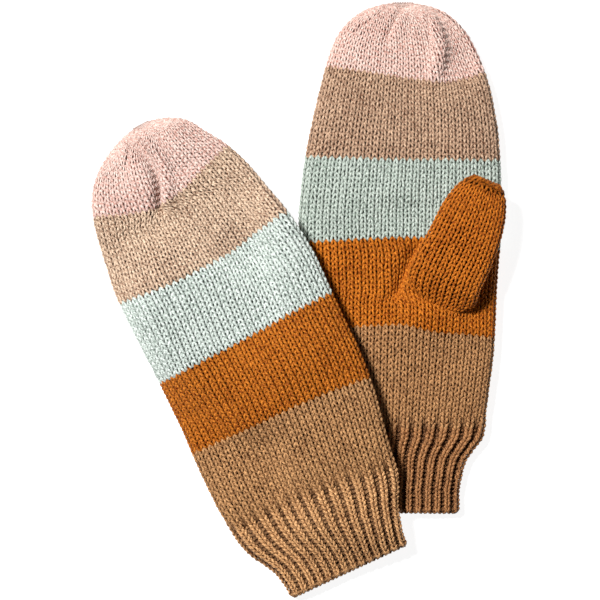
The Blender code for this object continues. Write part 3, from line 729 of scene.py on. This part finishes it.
# ---------------------------------------------------------------- materials
def yarn_material(name, dark, light, painted_shade_depth, rows, shade):
    """Spun wool: two tones, a twist, loose fibres and slow random changes of shade, with painted light and shade on the
    plies, painted shade on the yarn's sides and where it sinks into the cloth, and both tones scaled by shade, which is
    partly painted shade.
    """
    m = bpy.data.materials.new(name)
    m.use_nodes = True
    nt = m.node_tree
    N, L = nt.nodes, nt.links
    p = N["Principled BSDF"]
    uv = N.new("ShaderNodeUVMap"); uv.uv_map = "OFBake"
    sep = N.new("ShaderNodeSeparateXYZ"); L.new(uv.outputs["UV"], sep.inputs[0])

    def math_node(op, a, b=None, c=None):
        n = N.new("ShaderNodeMath"); n.operation = op
        for i, v in enumerate((a, b, c)):
            if v is None:
                continue
            if isinstance(v, (int, float)):
                n.inputs[i].default_value = v
            else:
                L.new(v, n.inputs[i])
        return n.outputs[0]

    along = math_node("MULTIPLY", sep.outputs[0], 640.0)
    around = math_node("MULTIPLY", sep.outputs[1], float(rows))
    twist = math_node("MULTIPLY_ADD", along, 0.42, around)
    ply = math_node("MULTIPLY_ADD", math_node("SINE", math_node("MULTIPLY", twist, 4 * math.pi)), 0.5, 0.5)
    comb = N.new("ShaderNodeCombineXYZ")
    L.new(math_node("MULTIPLY", along, 0.55), comb.inputs[0])
    L.new(math_node("MULTIPLY", math_node("MULTIPLY_ADD", along, 0.42, around), 7.0), comb.inputs[1])
    fibre = N.new("ShaderNodeTexNoise"); fibre.inputs["Scale"].default_value = 1.0
    fibre.inputs["Detail"].default_value = 5.0; fibre.inputs["Roughness"].default_value = 0.65
    L.new(comb.outputs[0], fibre.inputs["Vector"])
    obj = N.new("ShaderNodeTexCoord")
    slow = N.new("ShaderNodeTexNoise"); slow.inputs["Scale"].default_value = 55.0; slow.inputs["Detail"].default_value = 3.0
    L.new(obj.outputs["Object"], slow.inputs["Vector"])
    fleck = N.new("ShaderNodeTexNoise"); fleck.inputs["Scale"].default_value = 900.0; fleck.inputs["Detail"].default_value = 2.0
    L.new(obj.outputs["Object"], fleck.inputs["Vector"])
    # the ply stripes paint light on the crests of the plies and shade in the grooves between them; the fibre, slow and
    # fleck noise are random tone
    tone = math_node("ADD", math_node("MULTIPLY", ply, 0.3), math_node("MULTIPLY_ADD", fibre.outputs["Fac"], 1.5, -0.35))
    tone = math_node("ADD", tone, math_node("MULTIPLY_ADD", slow.outputs["Fac"], 0.35, -0.17))
    tone = math_node("ADD", tone, math_node("MULTIPLY_ADD", fleck.outputs["Fac"], 1.9, -0.95))
    ramp = N.new("ShaderNodeMixRGB"); ramp.inputs[1].default_value = (*[c * k for c, k in zip(dark, shade)], 1)
    ramp.inputs[2].default_value = (*[min(1.0, c * k) for c, k in zip(light, shade)], 1)
    clamp = N.new("ShaderNodeClamp"); L.new(tone, clamp.inputs[0]); L.new(clamp.outputs[0], ramp.inputs[0])
    # painted shade: where the rise attribute is low, on the sides and underside of each yarn and where its loops sink
    # into the cloth, the colour is mixed towards a darker copy of the dark tone
    rise = N.new("ShaderNodeAttribute"); rise.attribute_name = "rise"
    open_to_light = N.new("ShaderNodeMapRange"); open_to_light.interpolation_type = "SMOOTHSTEP"
    open_to_light.inputs["From Min"].default_value = 0.29 if sum(painted_shade_depth) > 0.5 else 0.42; open_to_light.inputs["From Max"].default_value = 0.97
    L.new(rise.outputs["Fac"], open_to_light.inputs["Value"])
    deep = N.new("ShaderNodeMixRGB"); deep.inputs[1].default_value = (*[c * q * k for c, q, k in zip(dark, painted_shade_depth, shade)], 1)
    L.new(open_to_light.outputs[0], deep.inputs[0]); L.new(ramp.outputs[0], deep.inputs[2])
    L.new(deep.outputs[0], p.inputs["Base Color"])
    rough = N.new("ShaderNodeMapRange"); rough.inputs["To Min"].default_value = 0.36; rough.inputs["To Max"].default_value = 0.8
    L.new(fibre.outputs["Fac"], rough.inputs["Value"]); L.new(rough.outputs[0], p.inputs["Roughness"])
    height = math_node("ADD", math_node("MULTIPLY", ply, 0.6), math_node("MULTIPLY", fibre.outputs["Fac"], 0.6))
    b = N.new("ShaderNodeBump"); b.inputs["Strength"].default_value = 0.8; b.inputs["Distance"].default_value = 0.0003
    L.new(height, b.inputs["Height"]); L.new(b.outputs[0], p.inputs["Normal"])
    p.inputs["Sheen Weight"].default_value = 0.05
    p.inputs["Sheen Roughness"].default_value = 0.45
    p.inputs["Sheen Tint"].default_value = (*[min(1, (c + d) / 2 * k) for c, d, k in zip(light, dark, shade)], 1)
    p.inputs["Specular IOR Level"].default_value = 0.3
    p.inputs["Specular Tint"].default_value = (*[c ** 0.8 for c in light], 1)
    p.inputs["Metallic"].default_value = 0.0
    return m


COLOURS = {
    "pink_yarn": ((0.60, 0.28, 0.225), (1.0, 0.85, 0.79)),
    "rose_beige_yarn": ((0.16, 0.060, 0.024), (1.0, 0.90, 0.76)),
    "mint_yarn": ((0.25, 0.32, 0.27), (0.93, 1.0, 0.95)),
    "mustard_yarn": ((0.20, 0.020, 0.001), (1.0, 0.68, 0.19)),
    "camel_yarn": ((0.13, 0.042, 0.010), (0.95, 0.72, 0.46)),
}
# how dark the yarn is painted where it turns away and sinks between the stitches, and how dark the inner face behind
# the stitches is painted: both painted shade
PAINTED_YARN_SHADE = {"pink_yarn": (0.42, 0.16, 0.12), "rose_beige_yarn": (0.22, 0.06, 0.02), "mint_yarn": (0.19, 0.20, 0.19),
        "mustard_yarn": (0.22, 0.02, 0.01), "camel_yarn": (0.22, 0.06, 0.02)}
PAINTED_HOLE_SHADE = {"pink_yarn": 0.3, "rose_beige_yarn": 0.07, "mint_yarn": 0.12, "mustard_yarn": 0.06, "camel_yarn": 0.06}
# multipliers on each band's yarn colours, per mitten: partly the yarns' own colour, partly painted shade, as the right
# mitten lies lower and partly under the left and its copies of the same yarns are set darker, and bands of one yarn
# differ by where they lie
TINT_AND_PAINTED_SHADE = {"right": {"ribbed_cuff": (0.504, 0.312, 0.193), "camel_band": (0.551, 0.378, 0.25),
                   "mustard_band": (0.621, 0.282, 0.094), "mint_band": (0.583, 0.592, 0.562),
                   "rose_band": (0.601, 0.452, 0.36), "crown": (0.708, 0.683, 0.65),
                   "thumb": (0.652, 0.291, 0.104)},
         "left": {"ribbed_cuff": (0.78, 0.572, 0.398), "camel_band": (0.619, 0.442, 0.297),
                  "mustard_band": (0.569, 0.266, 0.103), "mint_band": (0.746, 0.742, 0.737),
                  "rose_band": (0.736, 0.619, 0.531), "crown": (0.673, 0.659, 0.633),
                  "thumb": (0.652, 0.291, 0.104)}}
made = {}


def yarn(label, rows, shade):
    key = (label, rows, shade)
    if key not in made:
        made[key] = yarn_material(f"{label}_{len(made)}", *COLOURS[label], PAINTED_YARN_SHADE[label], rows, shade)
    return made[key]


def all_same(n):
    return lambda v: n


# ---------------------------------------------------------------- build each mitten
SLOTS = ("camel_yarn", "camel_yarn", "mustard_yarn", "mint_yarn", "rose_beige_yarn", "pink_yarn")
PARTS = ("ribbed_cuff", "camel_band", "mustard_band", "mint_band", "rose_band", "crown")
STRIPES = {"right": (43.7, 182.0), "left": (43.2, 178.9)}


def v3(p, z=0.0):
    return (p[0] * MM, p[1] * MM, z * MM)


def dress(side, m, th, changes, dents):
    sheet, row_of = hand_sheet(m, BAND_ROWS[side], changes, dents)
    wrist, upper = STRIPES[side]
    hand, fingers, thumb_body, cuff = (f"{side}_{b}" for b in ("hand", "fingers", "thumb", "cuff"))
    wrist_span = (v3(m.world(0, wrist + 12)), v3(m.world(0, wrist - 12)))
    finger_span = (v3(m.world(0, upper - 15)), v3(m.world(0, upper + 15)))

    def ribbing(v):
        k = 1.0 if v < row_of[1] else float(1 - smoothstep((v + 0.6 - row_of[1]) / 3.4))
        return k, v < row_of[1]

    crown_top = row_of[-1]

    def crown_wales(v):
        left_rows = crown_top - 1 - v
        return WALES if left_rows > 2 else WALES // 2

    for i, (part, label) in enumerate(zip(PARTS, SLOTS)):
        rows = list(range(row_of[i], row_of[i + 1]))
        if part == "crown":
            rows = rows[:-1]
        obj = knit(f"{side}_{part}_knit", sheet, rows, crown_wales if part == "crown" else all_same(WALES),
                   yarn(label, len(rows), TINT_AND_PAINTED_SHADE[side][part]), label, rib=ribbing if i < 2 else None)
        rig.replaces(obj, f"{side}_{part}")
        # the inner face gets the yarn's colour darkened: painted shade in the holes between stitches
        inner = backing(f"{side}_{part}_inner_face", sheet, row_of[i] + (0.1 if i == 0 else 0), row_of[i + 1] - (0.6 if part == "crown" else 0),
                        plain(label, PAINTED_HOLE_SHADE[label]), label, (lambda v: ribbing(v)[0]) if i < 2 else (lambda v: 0.0))
        loose = fuzz(f"{side}_{part}_fibres", sheet, row_of[i] + 0.3, row_of[i + 1] - (3 if part == "crown" else 0.3),
                     400 if QUICK else FIBRES, fibre(side, part, label), label)
        for o in (obj, inner, loose):
            if part in ("ribbed_cuff", "camel_band"):
                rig.blend(o, hand, cuff, *wrist_span)
            elif part in ("mint_band", "rose_band"):
                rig.blend(o, hand, fingers, *finger_span)
            elif part == "crown":
                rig.ride(o, fingers)
            else:
                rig.ride(o, hand)

    closing(f"{side}_crown_drawn_up", sheet, row_of[-1] - 1.0, (-m.sin, m.cos), 9, 0.85,
            yarn("pink_yarn", 9, TINT_AND_PAINTED_SHADE[side]["crown"]), "pink_yarn", fingers)

    # the cast-on edge
    n = WALES * 8
    x = np.arange(n) / 8.0
    wave = np.cos(np.pi * (x - 0.5))
    p, nrm, _ = sheet.at(x / WALES, 0.12 + 0.10 * wave)
    path = p + nrm * (RIB_STEP * (np.clip(wave * 1.6, -1, 1) * 0.8 - 0.5) + 0.35 * np.sin(2 * np.pi * x * 2))[:, None]
    # the last argument sets a middle level of painted shade along the edge
    edge = tube(f"{side}_cuff_edge_yarn", path[None], nrm[None], np.full((1, n), 1.15),
                yarn("camel_yarn", 1, TINT_AND_PAINTED_SHADE[side]["ribbed_cuff"]), "camel_yarn", np.zeros((1, n)))
    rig.replaces(edge, f"{side}_cuff_edge")
    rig.ride(edge, cuff)

    ts, rows = thumb_sheet(th, 2.4)
    obj = knit(f"{side}_thumb_knit", ts, list(range(0, rows - 1)), lambda v: THUMB_WALES if v < rows - 3 else THUMB_WALES // 2,
               yarn("mustard_yarn", rows - 1, TINT_AND_PAINTED_SHADE[side]["thumb"]), "mustard_yarn", scale=0.93)
    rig.replaces(obj, f"{side}_thumb")
    heel = np.array([th.heel[0], th.heel[1], float(th.surface(np.array(th.heel[0]), np.array(th.heel[1])))])
    way = np.array([th.along[0], th.along[1], th.side * 1.0]) / math.sqrt(2)
    start, end = heel + way * 9.0, heel + way * 25.0
    # the thumb's inner face gets the yarn's colour darkened: painted shade in the holes between stitches
    inner = backing(f"{side}_thumb_inner_face", ts, 0.1, rows - 1.2, plain("mustard_yarn", PAINTED_HOLE_SHADE["mustard_yarn"]), "mustard_yarn")
    loose = fuzz(f"{side}_thumb_fibres", ts, 3.0, rows - 2.0, 300 if QUICK else FIBRES // 2,
                 fibre(side, "thumb", "mustard_yarn"), "mustard_yarn")
    for o in (obj, inner, loose):
        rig.blend(o, hand, thumb_body, tuple(start * MM), tuple(end * MM))
    # the seam that closes the thumb's tip, sewn over and over with the same yarn
    a = 2 * np.pi * np.arange(120) / 120
    deep = th.length - 4.6
    full, tall = float(th.height(th.pivot)), float(th.height(deep))
    middle, rise = th.bend + full / 2 - (full - tall) * 0.3 + THUMB_AIR * 0.4, np.clip(1.7 * np.sin(a), -1, 1)
    tip = [th.world(deep - 0.15 * wk + 0.3 * math.sin(18 * k), 2.6 + wk, middle + (tall / 2 + 0.75) * hk)
           for k, wk, hk in zip(a, 7.0 * np.cos(a), rise)]
    out = np.array([[th.along[0] * 0.2, th.along[1] * 0.2, 1.0 if hk >= 0 else -1.0] for hk in rise])
    # the last argument is painted shade along the seam, darker between its wraps
    sewn = tube(f"{side}_thumb_tip_seam_yarn", np.array(tip)[None], out[None], (0.95 + 0.2 * np.sin(18 * a))[None],
                yarn("mustard_yarn", 1, TINT_AND_PAINTED_SHADE[side]["thumb"]), "mustard_yarn", (0.75 + 0.3 * np.sin(18 * a))[None])
    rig.replaces(sewn, f"{side}_thumb_tip_seam")
    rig.ride(sewn, thumb_body)
    closing(f"{side}_thumb_drawn_up", ts, rows - 1.2, th.along, 9, 0.85,
            yarn("mustard_yarn", 9, TINT_AND_PAINTED_SHADE[side]["thumb"]), "mustard_yarn", thumb_body)
    for node, label in ((f"{side}_thumb_base_seam", "mustard_yarn"),
                        (f"{side}_crown_gather", "pink_yarn")):
        o = frame["nodes"][node]
        o.data.materials.clear()
        o.data.materials.append(plain(label))
    return sheet


def mottled(m, colour, scale, low):
    """An uneven wool shade: noise between a darker and the full colour."""
    nt = m.node_tree
    place = nt.nodes.new("ShaderNodeTexCoord")
    noise = nt.nodes.new("ShaderNodeTexNoise"); noise.inputs["Scale"].default_value = scale; noise.inputs["Detail"].default_value = 3.0
    mix = nt.nodes.new("ShaderNodeMixRGB")
    mix.inputs[1].default_value = (*[c * low for c in colour], 1)
    mix.inputs[2].default_value = (*[min(1.0, c * (2 - low)) for c in colour], 1)
    nt.links.new(place.outputs["Object"], noise.inputs["Vector"])
    nt.links.new(noise.outputs["Fac"], mix.inputs[0])
    nt.links.new(mix.outputs[0], nt.nodes["Principled BSDF"].inputs["Base Color"])


def closing(name, sheet, v, along, count, radius, mat, label, body):
    """The stitches that draw a tip shut: yarn sewn over and over from the upper cloth to the lower."""
    along = np.array([along[0], along[1], 0.0])
    f = (np.arange(count) + 0.5) / count * 0.5
    top, _, _ = sheet.at(f, np.full(count, v))
    low, _, _ = sheet.at(1 - f, np.full(count, v))
    mid, half = (top + low) / 2, (top - low) / 2
    a = 2 * np.pi * np.arange(14) / 14
    ca, sa = np.cos(a)[None, :, None], np.sin(a)[None, :, None]
    paths = mid[:, None] + half[:, None] * ca * 0.95 + along[None, None] * (0.9 * sa + 0.2)
    out = half[:, None] / np.maximum(np.linalg.norm(half, axis=-1), 1e-9)[:, None, None] * ca + along[None, None] * sa
    # one even level of painted shade on these stitches
    obj = tube(name, paths, out, np.full((count, 14), radius), mat, label, np.full((count, 14), 0.4))
    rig.ride(obj, body)
    return obj


def fibre(side, part, label):
    m = bpy.data.materials.new(f"{side}_{part}_fibre")
    m.use_nodes = True
    p = m.node_tree.nodes["Principled BSDF"]
    mottled(m, [min(1.0, c * k) for c, k in zip(COLOURS[label][1], TINT_AND_PAINTED_SHADE[side][part])], 400.0, 0.75)
    p.inputs["Roughness"].default_value = 0.7
    p.inputs["Specular IOR Level"].default_value = 0.3
    return m


def plain(label, shade=1.0):
    name = f"{label}_plain_{int(shade * 100)}"
    if name in bpy.data.materials:
        return bpy.data.materials[name]
    m = bpy.data.materials.new(name)
    m.use_nodes = True
    p = m.node_tree.nodes["Principled BSDF"]
    d, l = COLOURS[label]
    # below a shade of 1 the colour is darkened and leans to the dark tone: painted shade for the inner faces behind the
    # stitches
    mottled(m, [(a * (1.6 if shade < 1 else 1.0) + b * (0.4 if shade < 1 else 1.0)) / 2 * shade for a, b in zip(d, l)], 700.0, 0.7)
    p.inputs["Roughness"].default_value = 0.9
    p.inputs["Specular IOR Level"].default_value = 0.05
    return m


dress("right", right, right_thumb, RIGHT_CHANGES, right_dents)
dress("left", left, left_thumb, LEFT_CHANGES, left_dents)

# ---------------------------------------------------------------- floor, light, camera
bpy.ops.mesh.primitive_plane_add(size=6.0, location=(0, 0, -0.0004))
floor = bpy.context.object
floor.name = "floor"
fm = bpy.data.materials.new("floor_white")
fm.use_nodes = True
fp = fm.node_tree.nodes["Principled BSDF"]
fp.inputs["Base Color"].default_value = (0.40, 0.40, 0.40, 1)
fp.inputs["Emission Color"].default_value = (1, 1, 1, 1)
fp.inputs["Emission Strength"].default_value = 0.89
fp.inputs["Roughness"].default_value = 0.9
fp.inputs["Specular IOR Level"].default_value = 0.1
floor.data.materials.append(fm)
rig.stage(floor)


def area(name, loc, size, power, target=(0, 0, 0)):
    d = bpy.data.lights.new(name, "AREA")
    d.size = size
    d.energy = power
    o = bpy.data.objects.new(name, d)
    o.location = loc
    from_to = np.array(target) - np.array(loc)
    o.rotation_euler = (math.acos(-from_to[2] / np.linalg.norm(from_to)), 0,
                        math.atan2(from_to[1], from_to[0]) - math.pi / 2)
    bpy.context.scene.collection.objects.link(o)
    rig.stage(o)
    return o


area("key", (-0.66, 0.52, 1.36), 0.32, 47.0)
area("fill", (1.2, -0.6, 1.5), 1.5, 1.6)
world = bpy.data.worlds.new("studio") if bpy.context.scene.world is None else bpy.context.scene.world
bpy.context.scene.world = world
world.use_nodes = True
bg = world.node_tree.nodes.get("Background")
bg.inputs[0].default_value = (1, 1, 1, 1)
seen = world.node_tree.nodes.new("ShaderNodeLightPath")
glow = world.node_tree.nodes.new("ShaderNodeMath")
glow.operation = "MULTIPLY_ADD"
glow.inputs[1].default_value, glow.inputs[2].default_value = 0.93, 0.07      # a white backdrop that gives little light
world.node_tree.links.new(seen.outputs["Is Camera Ray"], glow.inputs[0])
world.node_tree.links.new(glow.outputs[0], bg.inputs[1])
bpy.context.scene.view_settings.view_transform = "Standard"
bpy.context.scene.view_settings.look = "None"

cam_data = bpy.data.cameras.new("camera")
cam = bpy.data.objects.new("camera", cam_data)
bpy.context.scene.collection.objects.link(cam)
cam.location = (0.00095, -0.0004, 1.5)
cam_data.lens = 18 / (0.1551 / 1.488)
cam_data.sensor_width = 36
bpy.context.scene.camera = cam

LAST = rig.bounds()
with open("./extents.json", "w") as f:
    json.dump({"frame": [list(FIRST[0]), list(FIRST[1])], "scene": [list(LAST[0]), list(LAST[1])]}, f)
